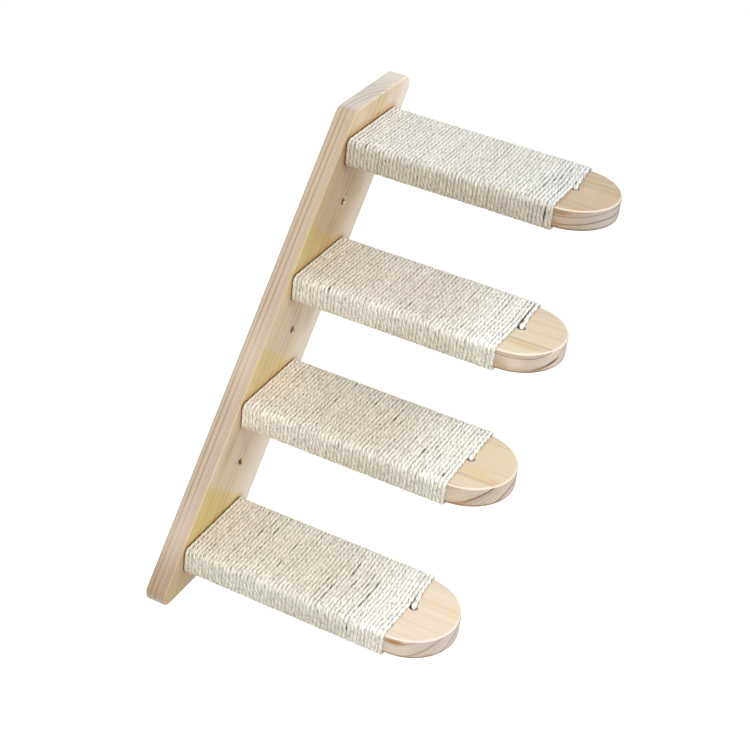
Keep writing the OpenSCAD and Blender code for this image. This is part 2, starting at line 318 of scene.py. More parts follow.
# Paler and darker places, each as (mm along, mm across, depth, half length, half width, colour, strength), on
# the near edge and on the face
for far_up, off_middle, depth, half_long, half_wide, code, strength in (
        (-36, -44, 9, 46, 14, "#E2D0BC", 0.5), (-190, -44, 9, 46, 14, "#DECCB8", 0.48),
        (182, -30, 18, 18, 12, "#EBD6BA", 0.75), (223, 22, 18, 14, 12, "#D2C4A4", 0.6),
        (18, 22, 18, 18, 12, "#C4AC88", 0.5), (-112, -30, 18, 34, 11, "#B59C78", 0.75),
        (-92, -6, 18, 14, 9, "#DDCDB2", 0.7), (-217, -4, 18, 10, 14, "#BCA98E", 0.6),
        (136, 22, 18, 13, 9, "#E0BC89", 0.5), (91, -6, 18, 12, 9, "#C2A16F", 0.4),
        (101, 22, 18, 9, 8, "#F9E2C1", 0.5), (-31, -6, 18, 13, 10, "#E3DCA4", 0.4),
        (-8, 22, 18, 12, 8, "#FAEAD9", 0.5), (-236, -30, 18, 12, 9, "#CBB973", 0.4)):
    middle = Vector(along) * far_up + Vector(across) * off_middle + Vector((0, -depth, 0))
    patch(board_pine, middle, (half_wide, 12, half_long), lean, code, strength, 1.1)
# Painted bounce light and shade on the front face: over each step the board is yellower, up to a line square to it
# from the winding's far corner. Painted shade makes the thin hollow behind the first turn dark, and a warm painted
# shade lies close round the winding
painted_bounce_glow, painted_contact_shade, painted_warm_shade = 0, [], []
ragged = add(tree, "TexNoise", {"Vector": place, "Scale": 220, "Detail": 2})
for z, gloom, warm_shade_strength, share, reach in zip(step_z, (0.9, 0.8, 0.8, 0.95), (0.8, 0.6, 0.5, 0.45),
                                          (0.1, 0.8, 0.65, 0.95), (38.5, 31, 33.5, 38.5)):
    here = add(tree, "VectorMath", {0: place, 1: (z * math.tan(lean) / 1000, 0, z / 1000)}, operation="SUBTRACT")
    height = add(tree, "SeparateXYZ", {0: here}, out="Z")
    above = add(tree, "MapRange", {"Value": height, "From Min": 0.009, "From Max": 0.013})
    corner = (z / math.cos(lean) + reach) / 1000
    below = add(tree, "MapRange", {"Value": up, "From Min": corner, "From Max": corner - 0.005, "To Max": share})
    between = add(tree, "Math", {0: above, 1: below}, operation="MINIMUM")
    painted_bounce_glow = add(tree, "Math", {0: between, 1: painted_bounce_glow}, operation="MAXIMUM")
    # How far a point lies from the middle rectangle of the winding's outline, whose corners are 5.4 mm round
    box = add(tree, "VectorMath", {0: here, 1: (1, 0, 1)}, operation="MULTIPLY")
    box = add(tree, "VectorMath", {0: box}, operation="ABSOLUTE")
    box = add(tree, "VectorMath", {0: box, 1: (flat / 1000, 0, upright / 1000)}, operation="SUBTRACT")
    box = add(tree, "VectorMath", {0: box, 1: (0, 0, 0)}, operation="MAXIMUM")
    box = add(tree, "VectorMath", {0: box}, out="Value", operation="LENGTH")
    frayed = add(tree, "Math", {0: ragged, 1: 0.0018, 2: box}, operation="MULTIPLY_ADD")
    # Painted shade: the thin hollow behind the first turn is dark
    painted_contact_shade.append(add(tree, "MapRange",
                       {"Value": frayed, "From Min": 0.0068, "From Max": 0.0058, "To Max": gloom}))
    # Painted shade: a warm shade lies close round the winding's outline
    painted_warm_shade.append(add(tree, "MapRange", {"Value": box, "From Min": 0.012, "From Max": 0.0055, "To Max": warm_shade_strength}))
# Painted shadow: above the second step the wood is duskier up to just under the top one, most on the near half,
# where the top step shades it
painted_step_shadow = 1
for value, a, b, c, d in ((up, 0.045, 0.09, 0, 0.8), (side, 0.01, 0.03, 1, 0.4), (up, 0.165, 0.15, 0, 1)):
    part = add(tree, "MapRange", {"Value": value, "From Min": a, "From Max": b, "To Min": c, "To Max": d})
    painted_step_shadow = add(tree, "Math", {0: painted_step_shadow, 1: part}, operation="MULTIPLY")
# These painted shades, shadow and bounce light lie on the front face only
for masks, code, blend in (([painted_step_shadow], "#DCCFC4", "MULTIPLY"), ([painted_bounce_glow], "#FBF8C9", "MULTIPLY"),
                           (painted_warm_shade, "#E2B87C", "MULTIPLY"), (painted_contact_shade, "#4A3520", "MIX")):
    for mask in masks:
        tint(board_pine, add(tree, "Math", {0: mask, 1: in_front}, operation="MULTIPLY"), code, blend)
# The wall holes: pale raw wood at the rim of the 9 mm countersinks, and painted shade in them, ragged and brown
# further in and dark inside the 4.5 mm bores
plan = add(tree, "VectorMath", {0: place, 1: (1, 0, 1)}, operation="MULTIPLY")
hole = 1
for z in [(a + b) / 2 for a, b in zip(step_z, step_z[1:])]:
    from_hole = add(tree, "VectorMath", {0: plan, 1: (z * math.tan(lean) / 1000, 0, z / 1000)}, out="Value",
                    operation="DISTANCE")
    hole = add(tree, "Math", {0: from_hole, 1: hole}, operation="MINIMUM")
ragged_hole_shade = add(tree, "TexNoise", {"Vector": place, "Scale": 420, "Detail": 1})
ragged_hole_shade = add(tree, "Math", {0: ragged_hole_shade, 1: 0.5}, operation="SUBTRACT")
ragged_hole_shade = add(tree, "Math", {0: ragged_hole_shade, 1: 0.004, 2: hole}, operation="MULTIPLY_ADD")
tint(board_pine, hole, "#EBD3AE", "MIX", (0.0048, 0.0044), 0.35)
tint(board_pine, ragged_hole_shade, "#5F452A", "MIX", (0.0042, 0.0026))
tint(board_pine, hole, "#35261B", "MIX", (0.0024, 0.0016))
merged_copy("backboard", "backboard_pine", board_pine, "pine_board")

# Steps: four planed pine boards, square to the back board, with a half-round end and eased edges.
# Each was cut from its own log, so the rings, the tone and the marks differ from step to step.
hole_at = 185.02
step_logs = [
    # middle of the tree from the step's middle (x, z), rings, tones, ends, share on the broad faces, and marks
    # as (x, distance from the board, z), half sizes, turn, colour, strength
    ((-5, -150), [(142.5, 0.6, 2), (150.6, 1, 1.6), (156.8, 0.8, 1), (160.2, 0.5, 0.7), (161.5, 0.5, 0.8),
                  (163.2, 0.5, 0.9), (165.2, 0.55, 1)],
     ("#C4B291", "#C8B397", "#956641"), ("#BCB1A6", "#775E4A"), 0.5,
     [((-40, 187, 5.5), (7, 14, 2.6), 0, "#B07A4C", 0.7), ((-40, 184, -5), (6, 9, 4.5), 0, "#BD8F62", 0.6),
      ((3, 197, 9), (11, 9, 4), 0, "#DDB99C", 0.4), ((-34, 199, 9), (9, 14, 3), 0, "#CFA57C", 0.4)]),
    ((-36.4, 56), [(44, 0.3, 2), (49.4, 0.6, 1), (51.6, 0.95, 1.4), (61.5, 0.3, 3), (72, 0.4, 2.5),
                   (84, 0.4, 3)],
     ("#E2D4B7", "#E1D0B6", "#A27643"), ("#D4C4B6", "#7A6047"), 0.5,
     [((-22, 205, -4), (17, 60, 1.7), -0.27, "#9A7242", 0.9),
      ((-15, 205, -1.9), (8.5, 60, 1.3), -0.3, "#4A331C", 1.2),
      ((-41, 186, -3), (6, 8, 7), 0, "#D3A06C", 0.5), ((-40, 197, 0), (7, 14, 7), 0, "#F9E7D1", 0.4),
      ((-22, 198, 9), (7, 16, 3), 0, "#DDBE8C", 0.5)]),
    ((13.4, -50.8), [(55, 1, 2.6), (62.6, 0.35, 1.2), (66.5, 0.45, 1.4), (69.6, 1, 3), (80, 0.4, 3)],
     ("#E2D2B2", "#E3CFB6", "#A26E43"), ("#CEBEAB", "#6A4C35"), 0.35,
     [((-19, 213, 9), (6, 8, 4), 0, "#E2AF80", 0.4), ((-14, 197, 9), (11, 12, 3), 0, "#E6C796", 0.5),
      ((-38, 193, -6), (6, 13, 4), 0, "#D9A67A", 0.5)]),
    ((60.9, -117), [(129, 0.3, 1.6), (135.9, 0.85, 1.6), (142.5, 0.2, 1), (148.8, 0.7, 2), (158.6, 0.6, 2)],
     ("#E9DBC1", "#EAD8C4", "#AF8257"), ("#D1C2B7", "#755B47"), 0.2,
     [((-41, 190, 5.4), (4, 14, 2.8), 0, "#C08C4E", 1), ((14, 197, 9), (10, 8, 4), 0, "#F0CDAC", 0.35),
      ((12, 214, 9), (12, 6, 4), 0, "#ECD6A2", 0.4), ((-28, 213, -6.2), (8, 12, 1.3), 0, "#CF9468", 0.6)]),
]
for k, (z, (middle, rings, tones, ends, on_faces, marks)) in enumerate(zip(step_z, step_logs), 1):
    root = Vector((z * math.tan(lean), -board_t, z))
    wood = pine(f"pine_step_{k}_planed_varnished", ((1, 0, 0), (0, 0, 1), (0, -1, 0)),
                root + Vector((middle[0], 0, middle[1])), rings, tones, ends, on_faces)
    for (x, distance, height), half, turn, code, strength in marks:
        patch(wood, root + Vector((x, -distance, height)), half, turn, code, strength)
    tree = wood.node_tree
    place = tree.nodes["place"].outputs["Object"]
    # Painted highlight: the sanded round of the upper edge is paler, where light catches it
    facing = add(tree, "NewGeometry", {}, out="Normal")
    rise = add(tree, "SeparateXYZ", {0: facing}, out="Z")
    rising = add(tree, "MapRange", {"Value": rise, "From Min": 0.45, "From Max": 0.75})
    rim = add(tree, "MapRange", {"Value": rise, "From Min": 0.985, "From Max": 0.9, "To Max": 0.6})
    rim = add(tree, "Math", {0: rising, 1: rim}, operation="MULTIPLY")
    # Painted shade: the sawn sides are darker than the face
    painted_side_shade = add(tree, "Math", {0: add(tree, "SeparateXYZ", {0: facing}, out="X")}, operation="ABSOLUTE")
    tint(wood, painted_side_shade, "#E5E4E5", "MULTIPLY", (0.35, 0.85))
    tint(wood, rim, "#FBF0E4")
    # Painted shade: the lower rounded edge, where it faces down, is darker, and so is the strip of the sides above
    # it
    parts = add(tree, "SeparateXYZ", {0: place}).node
    lowest = add(tree, "MapRange", {"Value": parts.outputs["Z"], "From Min": (z - 5.8) / 1000,
                                    "From Max": (z - 7.2) / 1000, "To Max": 0.7})
    falling = add(tree, "MapRange", {"Value": rise, "From Min": -0.05, "From Max": -0.35, "To Max": 0.9})
    painted_underside_shade = add(tree, "Math", {0: lowest, 1: falling}, operation="MAXIMUM")
    not_below = add(tree, "MapRange", {"Value": rise, "From Min": -0.999, "From Max": -0.97})
    tint(wood, add(tree, "Math", {0: painted_underside_shade, 1: not_below}, operation="MULTIPLY"), "#7E6045")
    # Under the winding the wood lies in shade, and so does the hole that takes the rope's end
    tint(wood, parts.outputs["Y"], "#6E5636", "MIX", (-0.197, -0.196), 0.85)
    plan = add(tree, "VectorMath", {0: place, 1: (1, 1, 0)}, operation="MULTIPLY")
    from_hole = add(tree, "VectorMath", {0: plan, 1: (root.x / 1000, (root.y - hole_at) / 1000, 0)}, out="Value",
                    operation="DISTANCE")
    inside = add(tree, "MapRange", {"Value": from_hole, "From Min": 0.0036, "From Max": 0.0033})
    high = add(tree, "MapRange",
               {"Value": parts.outputs["Z"], "From Min": (z - 6) / 1000, "From Max": (z - 5) / 1000})
    tint(wood, add(tree, "Math", {0: inside, 1: high}, operation="MULTIPLY"), "#2C2018")
    merged_copy(f"step_board_{k}", f"step_{k}_pine", wood, "pine_step")

# Sisal windings: on each step one bleached sisal rope of three plies, 3.3 mm thick, wound turn against
# turn from a hole below, beside the back board, to a hole in the top, where its end is pushed in and glued.
full_turns, rope_r, ply_lay = 56, 1.65, 22.2
first_turn, last_strand, start_strand = 2, hole_at, 3.6
bend = math.pi / 2 * (edge_r + rope_r)
turn_len = 4 * (flat + upright + bend)
tail_x, tail_depth = 2.9, 8.8
# A rope is drawn with four points round each ply, and each of its turns is laid out at 24 places, where it strays
# by about stray and waves by about wave_size, in mm, and takes over a share of how far the turn before strays
plies_n, ply_points, turn_places = 3, 4, 24
stray, wave_size, taken_over, bow_turns, moves_within = 0.10, 0.07, 0.55, 17, 0.2
leaving, arriving = 14, 12


def tubes(name, points, material, slot, *nodes):
    """One piece of closed tubes in metres, from points [tube, ring, side, xyz]. A quad joins each pair of
    neighbours along and around, and a fan about a middle point closes each end."""
    count, rings_n, sides, _ = points.shape
    middles = points[:, [0, -1]].mean(axis=2)
    corners = np.concatenate([points.reshape(count, -1, 3), middles], axis=1)
    here = np.arange(rings_n * sides).reshape(rings_n, sides)
    beside = np.roll(here, -1, axis=1)
    quads = np.stack([here[:-1], here[1:], beside[1:], beside[:-1]], -1).reshape(-1, 4)
    hub = np.full(sides, rings_n * sides)
    fans = np.concatenate([np.stack([here[0], beside[0], hub], -1), np.stack([beside[-1], here[-1], hub + 1], -1)])
    start = np.arange(count)[:, None, None] * corners.shape[1]
    faces = (quads + start).reshape(-1, 4).tolist() + (fans + start).reshape(-1, 3).tolist()
    mesh = bpy.data.meshes.new(name)
    mesh.from_pydata(corners.reshape(-1, 3).tolist(), [], faces)
    return smooth_piece(name, mesh, material, slot, *nodes)


def drift(rng, at, reach, size):
    """A smooth random curve over the lengths at: random heights of that size every reach, joined by cosines."""
    steps = np.arange(at[0] - reach, at[-1] + 2 * reach, reach)
    heights = rng.normal(0, size, len(steps))
    i = np.clip(np.searchsorted(steps, at) - 1, 0, len(steps) - 2)
    share = (1 - np.cos(math.pi * (at - steps[i]) / reach)) / 2
    return heights[i] * (1 - share) + heights[i + 1] * share


def winding_line(rng, gaps, drawn_back, last_gap):
    """The rope's middle line in the step's own frame, in mm: its length, its points (x, distance, z) and its
    outward direction. One turn is a rounded rectangle: a foot point goes round an inner rectangle and the rope
    stands off it along a turning normal. Each strand lies one rope's width beyond the strand before it, give or
    take a little, and two strands stand apart at each of the gaps (distance from the board, mm round the turn,
    length). The last turn lies drawn_back towards the board on the near side, in the middle and on the far side,
    and its last half last_gap beyond it."""
    breaks = np.cumsum([0, flat, bend, 2 * upright, bend, 2 * flat, bend, 2 * upright, bend, flat])
    foot_x = [0, flat, flat, flat, flat, -flat, -flat, -flat, -flat, 0]
    foot_z = [-upright, -upright, -upright, upright, upright, upright, upright, -upright, -upright, -upright]
    angle = [-90, -90, 0, 0, 90, 90, 180, 180, 270, 270]
    # Rings 1.6 to 1.8 mm apart on the straights and 1 mm on the bends
    stops = np.concatenate([np.linspace(a, b, n, endpoint=False)
                            for a, b, n in zip(breaks, breaks[1:], (24, 6, 8, 6, 48, 6, 8, 6, 24))])
    length = (stops + turn_len * np.arange(full_turns + 1)[:, None]).ravel()
    end = full_turns * turn_len + breaks[4] + flat - tail_x
    length = length[(length > tail_x) & (length < end)]
    within = length % turn_len
    line = [np.interp(within, breaks, v) for v in (foot_x, foot_z, angle)]
    off = np.full(len(length), edge_r + rope_r)
    # Both ends turn through a quarter circle about the rim of their hole and go straight in
    way = np.linspace(0, 1, 6)[:-1]
    arc = rope_r * math.pi / 2
    start = np.concatenate([tail_x - arc - tail_depth * (1 - way), tail_x - arc * (1 - way)])
    first_foot_z = np.concatenate([-half_t + tail_depth * (1 - way), np.full(len(way), -half_t)])
    first_angle = np.concatenate([np.full(len(way), -180.0), -180 + 90 * way])
    finish = tail_x + end - start[::-1]
    length = np.concatenate([start, length, finish])
    foot_x = np.pad(line[0], len(start), constant_values=tail_x)
    foot_z = np.concatenate([first_foot_z, line[1], -first_foot_z[::-1]])
    angle = np.radians(np.concatenate([first_angle, line[2], -first_angle[::-1]]))
    off = np.pad(off, len(start), constant_values=rope_r)
    # Distances from the board. Strands cross the top and the sides square to the step, and move on below it.
    # The first ones bow out below, round the hole that the rope comes from, and each pushes the next one over.
    gain = (last_strand - first_turn) / full_turns
    share = np.arange(turn_places) / turn_places
    before, after = (np.clip(1 - part / moves_within, 0, 1) for part in (1 - share, share))
    bow = (start_strand - first_turn + gain / 2) * np.maximum(before, after) ** 1.5
    turns = np.arange(full_turns + 1)[:, None]
    wave = sum(rng.normal(0, wave_size, turns.shape) * np.cos(2 * math.pi * (h * share + rng.random(turns.shape)))
               for h in (1, 2, 3))
    push = rng.normal(0, stray, turns.shape) + wave
    opened = np.zeros_like(push)
    for distance, at, long in gaps:
        row = min(round((distance + rope_r - first_turn) / gain), full_turns - 1)
        here = np.exp(-((share - at / turn_len) * turn_len / (6 + long / 2)) ** 2)
        opened[row] = np.maximum(opened[row], (0.16 + 1.5 / (long + 2)) * here)
    push += opened
    push[0] = push[-1] = 0
    for row in range(1, full_turns + 1):
        push[row] += taken_over * push[row - 1]
    push[-1] = last_gap
    fade = np.clip(1 - (turns + share) / bow_turns, 0, 1)
    strand = (first_turn + gain * (turns + (before - after) / 2) + bow * fade + push).ravel()
    away = np.interp(length, np.arange(strand.size) * turn_len / len(share), strand)
    # Corners in it are smoothed over seven rings, and then the ends are drawn to their holes
    kernel = np.hanning(9)[1:-1] / np.hanning(9)[1:-1].sum()
    away = np.convolve(np.pad(away, 3, mode="edge"), kernel, mode="valid")
    back = np.interp(foot_x, (-flat, 0, flat), drawn_back)
    away = away - back * (away - first_turn) / (last_strand - first_turn)
    opening = np.clip((length - tail_x) / leaving, 0, 1)
    closing = np.clip((end - length) / arriving, 0, 1)
    closing = closing ** 2 * (3 - 2 * closing)
    away = start_strand + (away - start_strand) * opening
    away = last_strand + (away - last_strand) * closing
    off = off + opening * closing * drift(rng, length, 9, 0.05)
    normal = np.stack([np.cos(angle), np.zeros(len(angle)), np.sin(angle)], -1)
    points = np.stack([foot_x, away, foot_z], -1) + normal * off[:, None]
    return length, points, normal


def rope_rings(rng, length, points, normal, gaps):
    """Rings of points round the middle line, in the step's own frame, in mm: three lobes turn with the rope,
    once in ply_lay. A point stands off the line by its lobe's radius, towards the normal and the board's face,
    and the end in the upper hole is opened out and thicker. With each point go its place in the rope, its lobe's
    radius, how far it faces outwards, and how open the gap is that it faces, if one lies beside it. The strands
    press each other a tenth wider and a little flatter than round."""
    lobe = np.tile([1.76, 1.71, 1.48, 1.71], plies_n)
    around = np.arange(len(lobe)) * 2 * math.pi / len(lobe)
    flatter, wider = 0.97, 1.1
    twist = 2 * math.pi * length / ply_lay + drift(rng, length, 160, 0.9) + drift(rng, length, 30, 0.35)
    plies = np.stack([drift(rng, length, 8, 0.05) for _ in range(plies_n)], -1).repeat(ply_points, axis=1)
    thick = 1 + plies * 0.5 + np.roll(plies, 1, axis=1) * 0.5
    thick = thick + 0.45 * np.clip((length - length[-1] + tail_depth + 3) / 4, 0, 1)[:, None]
    reach = lobe * thick * (1 + drift(rng, length, 40, 0.015))[:, None]
    turned = around[None] + twist[:, None]
    rings_at = points[:, None] + reach[..., None] * (flatter * np.cos(turned)[..., None] * normal[:, None]
                                                    + wider * np.sin(turned)[..., None] * (0, 1, 0))
    lay = np.stack([reach * np.cos(around), reach * np.sin(around), np.tile(length[:, None], len(lobe))], -1)
    facing_gap = np.zeros_like(turned)
    for distance, at, long in gaps:
        here = np.exp(-((length % turn_len - at) / (long / 2 + 0.5)) ** 4)
        for ahead in (1, -1):
            beside = (distance - points[:, 1]) * ahead
            beside = np.clip(beside / 0.3, 0, 1) * np.clip((2 * rope_r - beside) / 0.3, 0, 1)
            towards = np.clip(np.sin(turned) * ahead * 2, 0, 1)
            facing_gap = np.maximum(facing_gap, (here * beside)[:, None] * towards)
    return rings_at, lay, np.tile(lobe, (len(length), 1)), np.cos(turned), facing_gap


def loose_fibres(rng, count, points, normal):
    """Fibre ends that stand off the rope, as three-sided tubes in the step's own frame. Each leaves a random
    place on the outer half of the rope, runs on in the rope's direction, rises off it by a small angle and bends
    to the side with the square of its length, tapering from 0.09 mm in radius to 0.03."""
    at = rng.integers(40, len(points) - 40, count)
    ahead = points[at + 1] - points[at - 1]
    ahead /= np.linalg.norm(ahead, axis=1, keepdims=True)
    ahead *= rng.choice([-1, 1], (count, 1))
    beside = np.cross(ahead, normal[at])
    lay_round = rng.uniform(-1.1, 1.1, (count, 1))
    out = np.cos(lay_round) * normal[at] + np.sin(lay_round) * beside
    beside = np.cross(ahead, out)
    size, rise = rng.uniform(2, 7, (count, 1, 1)), rng.uniform(0.08, 0.5, (count, 1, 1))
    bow = rng.normal(0, 0.3, (count, 1, 1))
    way = np.linspace(0, 1, 5)[None, :, None]
    line = (points[at] + 1.5 * out)[:, None]
    line = line + size * way * (np.cos(rise) * ahead[:, None] + np.sin(rise) * out[:, None])
    line = line + bow * size * way ** 2 * beside[:, None]
    angle = (np.arange(3) * 2 * math.pi / 3)[None, None, :, None]
    thick = (0.09 - 0.06 * way)[..., None]
    return line[:, :, None] + thick * (np.cos(angle) * out[:, None, None] + np.sin(angle) * beside[:, None, None])


def to_room(points, z):
    """From the step's own frame (x, distance from the board, height) in mm to the room in metres."""
    return (points * (1, -1, 1) + (z * math.tan(lean), -board_t, z)) / 1000


def sisal(name, tones, sides, fade, painted_last_side):
    """Bleached sisal: long hard fibres laid side by side, with a dull silky shine. Fibre streaks run along the
    plies, drawn 1.1 mm wide and 6 mm long, the finest that the picture shows. Painted shade makes the furrows
    between plies browner and the crevices between strands dark, least on the near side, where the rope is drawn
    tight. tones are painted light and shade by the distance from the board: those beside the board, in the middle
    and at the last turns. They are multiplied by sides, painted light and shade round the step as (mm from the
    middle of the underside, colour), of which fade is left at the last turns, and painted_last_side is the painted
    shade of the near side there."""
    material, tree, shader = new_material(name)
    lay = add(tree, "Attribute", {}, out="Vector", attribute_name="rope_lay")
    crest, outward, around, gap = (add(tree, "Attribute", {}, out="Fac", attribute_name=f"rope_{what}")
                                   for what in ("crest", "outward", "around", "gap"))
    # Noises that lie along the rope, drawn out by stretch: fibres 1.1 by 6 mm, flecks 1.3 by 2 mm, patches 3 by
    # 5 mm, and splits between bundles of fibres, 1.3 by 4 mm
    noises = []
    for stretch, scale, detail, rough in (((1, 1, 0.2), 0.9, 2, 0.6), ((1, 1, 0.6), 0.75, 1, 0.5),
                                          ((0.35, 0.35, 0.2), 1.0, 3, 0.5), ((0.8, 0.8, 0.25), 1.0, 1, 0.5)):
        drawn = add(tree, "VectorMath", {0: lay, 1: stretch}, operation="MULTIPLY")
        noises.append(add(tree, "TexNoise",
                          {"Vector": drawn, "Scale": scale, "Detail": detail, "Roughness": rough}))
    fibre, short, slow, split = noises
    # Lengths of rope 20 mm long differ in tone, and lengths of 4 mm in how slack they lie
    run = add(tree, "SeparateXYZ", {0: lay}, out="Z")
    batch, slack = (add(tree, "TexNoise", {"W": run, "Scale": scale, "Detail": 2}, noise_dimensions="1D")
                    for scale in (0.05, 0.26))
    out_from_wall = add(tree, "SeparateXYZ", {0: add(tree, "TexCoord", {}, out="Object")}, out="Y")
    # Painted shade and light by the distance from the board, from the tone beside it to the one at the last turns
    tone = linear(tones[0])
    for code, begin, end in ((tones[1], -0.028, -0.08), (tones[2], -0.125, -0.195)):
        share = add(tree, "MapRange", {"Value": out_from_wall, "From Min": begin, "From Max": end},
                    interpolation_type="SMOOTHSTEP")
        tone = add(tree, "Mix", {0: share, 6: tone, 7: linear(code)}, out=2, data_type="RGBA")
    # Painted light and shade round the step, of which fade is left at the last turns
    laid = add(tree, "ValToRGB", {"Fac": around}, out="Color")
    for element in laid.node.color_ramp.elements:
        element.color = linear(sides[0][1])
    for at, code in sides:
        laid.node.color_ramp.elements.new(at / turn_len).color = linear(code)
    left = add(tree, "MapRange", {"Value": share, "To Min": 1, "To Max": fade})
    tone = add(tree, "Mix", {0: left, 6: tone, 7: laid}, out=2, data_type="RGBA", blend_type="MULTIPLY")
    tree.links.new(tone, shader.inputs["Base Color"])
    # The near side, between the middles of its two bends, lies smoother, and painted light makes it paler
    sides_at = [add(tree, "MapRange", {"Value": around, "From Min": begin / turn_len, "From Max": end / turn_len})
                for begin, end in ((143, 151), (182, 168))]
    near_side = add(tree, "Math", {0: sides_at[0], 1: sides_at[1]}, operation="MINIMUM")
    tint(material, near_side, "#F6F6F1", "MIX", (0, 1), 0.2)
    # Painted shade tones the near side down towards the last turns, by painted_last_side
    further = add(tree, "MapRange", {"Value": out_from_wall, "From Min": -0.05, "From Max": -0.17})
    tint(material, add(tree, "Math", {0: near_side, 1: further}, operation="MULTIPLY"), painted_last_side, "MULTIPLY")
    # Fibre by fibre, patch by patch and strand by strand the tone goes up and down
    split = add(tree, "Math", {0: split, 1: 0.5}, operation="SUBTRACT")
    split = add(tree, "Math", {0: split}, operation="ABSOLUTE")
    streak = add(tree, "MapRange",
                 {"Value": split, "From Min": 0, "From Max": 0.045, "To Min": -0.5, "To Max": 0.09})
    for noise, strength in ((fibre, 0.85), (short, 0.595), (slow, 0.15), (batch, 0.25)):
        noise = add(tree, "Math", {0: noise, 1: 0.5}, operation="SUBTRACT")
        streak = add(tree, "Math", {0: noise, 1: strength, 2: streak}, operation="MULTIPLY_ADD")
    streak = add(tree, "Math", {0: streak, 1: 1.0}, operation="ADD")
    # Painted shade: furrows between the plies are a little darker, most on the near side. Crevices between strands
    # are painted darker still where the rope lies slack, and where a furrow meets one a pit of painted shade goes
    # down between two strands. The near side is drawn tight and shows least of both. Each mask goes from c to d as
    # its value goes from a to b.
    painted_furrow_shade, laid_round, painted_crevice_shade, looseness, low, painted_pit_shade, uneven, tight, deep = (
        add(tree, "MapRange", {"Value": value, "From Min": a, "From Max": b, "To Min": c, "To Max": d})
        for value, a, b, c, d in ((crest, 1.70, 1.50, 0, 0.3), (near_side, 0, 1, 1, 1.7),
                                  (outward, 0.66, 0.42, 0, 1), (slack, 0.35, 0.65, 0.05, 1),
                                  (crest, 1.71, 1.56, 0, 1), (outward, 0.75, 0.5, 0, 1),
                                  (slow, 0.62, 0.42, 0.1, 0.9), (near_side, 0, 1, 1, 0.3),
                                  (outward, 0.8, 0.58, 0, 1)))
    tint(material, add(tree, "Math", {0: painted_furrow_shade, 1: laid_round}, operation="MULTIPLY"), "#C8C0B0", "MULTIPLY")
    painted_crevice_shade = add(tree, "Math", {0: painted_crevice_shade, 1: looseness}, operation="MULTIPLY")
    painted_pit_shade = add(tree, "Math", {0: low, 1: painted_pit_shade}, operation="MULTIPLY")
    painted_pit_shade = add(tree, "Math", {0: painted_pit_shade, 1: uneven}, operation="MULTIPLY")
    painted_pit_shade = add(tree, "Math", {0: painted_crevice_shade, 1: painted_pit_shade}, operation="MAXIMUM")
    tint(material, add(tree, "Math", {0: painted_pit_shade, 1: tight}, operation="MULTIPLY"), "#887E69", "MULTIPLY")
    # Painted shade: where a gap between strands is open, it is nearly black
    tint(material, add(tree, "Math", {0: gap, 1: deep}, operation="MULTIPLY"), "#1E180F")
    tone = shader.inputs["Base Color"].links[0].from_socket
    tree.links.new(add(tree, "VectorMath", {0: tone, "Scale": streak}, operation="SCALE"),
                   shader.inputs["Base Color"])
    shader.inputs["Roughness"].default_value = 0.5
    shader.inputs["Sheen Weight"].default_value = 0.25
    shader.inputs["Sheen Roughness"].default_value = 0.5
    tree.links.new(add(tree, "Bump", {"Strength": 0.9, "Distance": 0.0003, "Height": fibre}),
                   shader.inputs["Normal"])
    return material


def mottled(name, stretch, scale, detail, span, codes, roughness):
    """A material whose colour goes from the first sRGB code to the second with a noise of 1 / scale metres,
    drawn out by stretch, over that span of its values. Gives the material, its node tree, shader and noise."""
    material, tree, shader = new_material(name)
    place = add(tree, "TexCoord", {}, out="Object")
    place = add(tree, "Mapping", {"Vector": place, "Scale": stretch})
    noise = add(tree, "TexNoise", {"Vector": place, "Scale": scale, "Detail": detail})
    share = add(tree, "MapRange", {"Value": noise, "From Min": span[0], "From Max": span[1]})
    tone = add(tree, "Mix", {0: share, 6: linear(codes[0]), 7: linear(codes[1])}, out=2, data_type="RGBA")
    tree.links.new(tone, shader.inputs["Base Color"])
    shader.inputs["Roughness"].default_value = roughness
    return material, tree, shader, noise


# Single fibres of the same sisal, thin enough to look paler or darker one by one, every 2.5 mm
loose_sisal = mottled("sisal_loose_fibre", (1, 1, 1), 400, 2, (0, 1), ("#D9CDAF", "#FBF8EF"), 0.6)[0]
fibres_n = 420

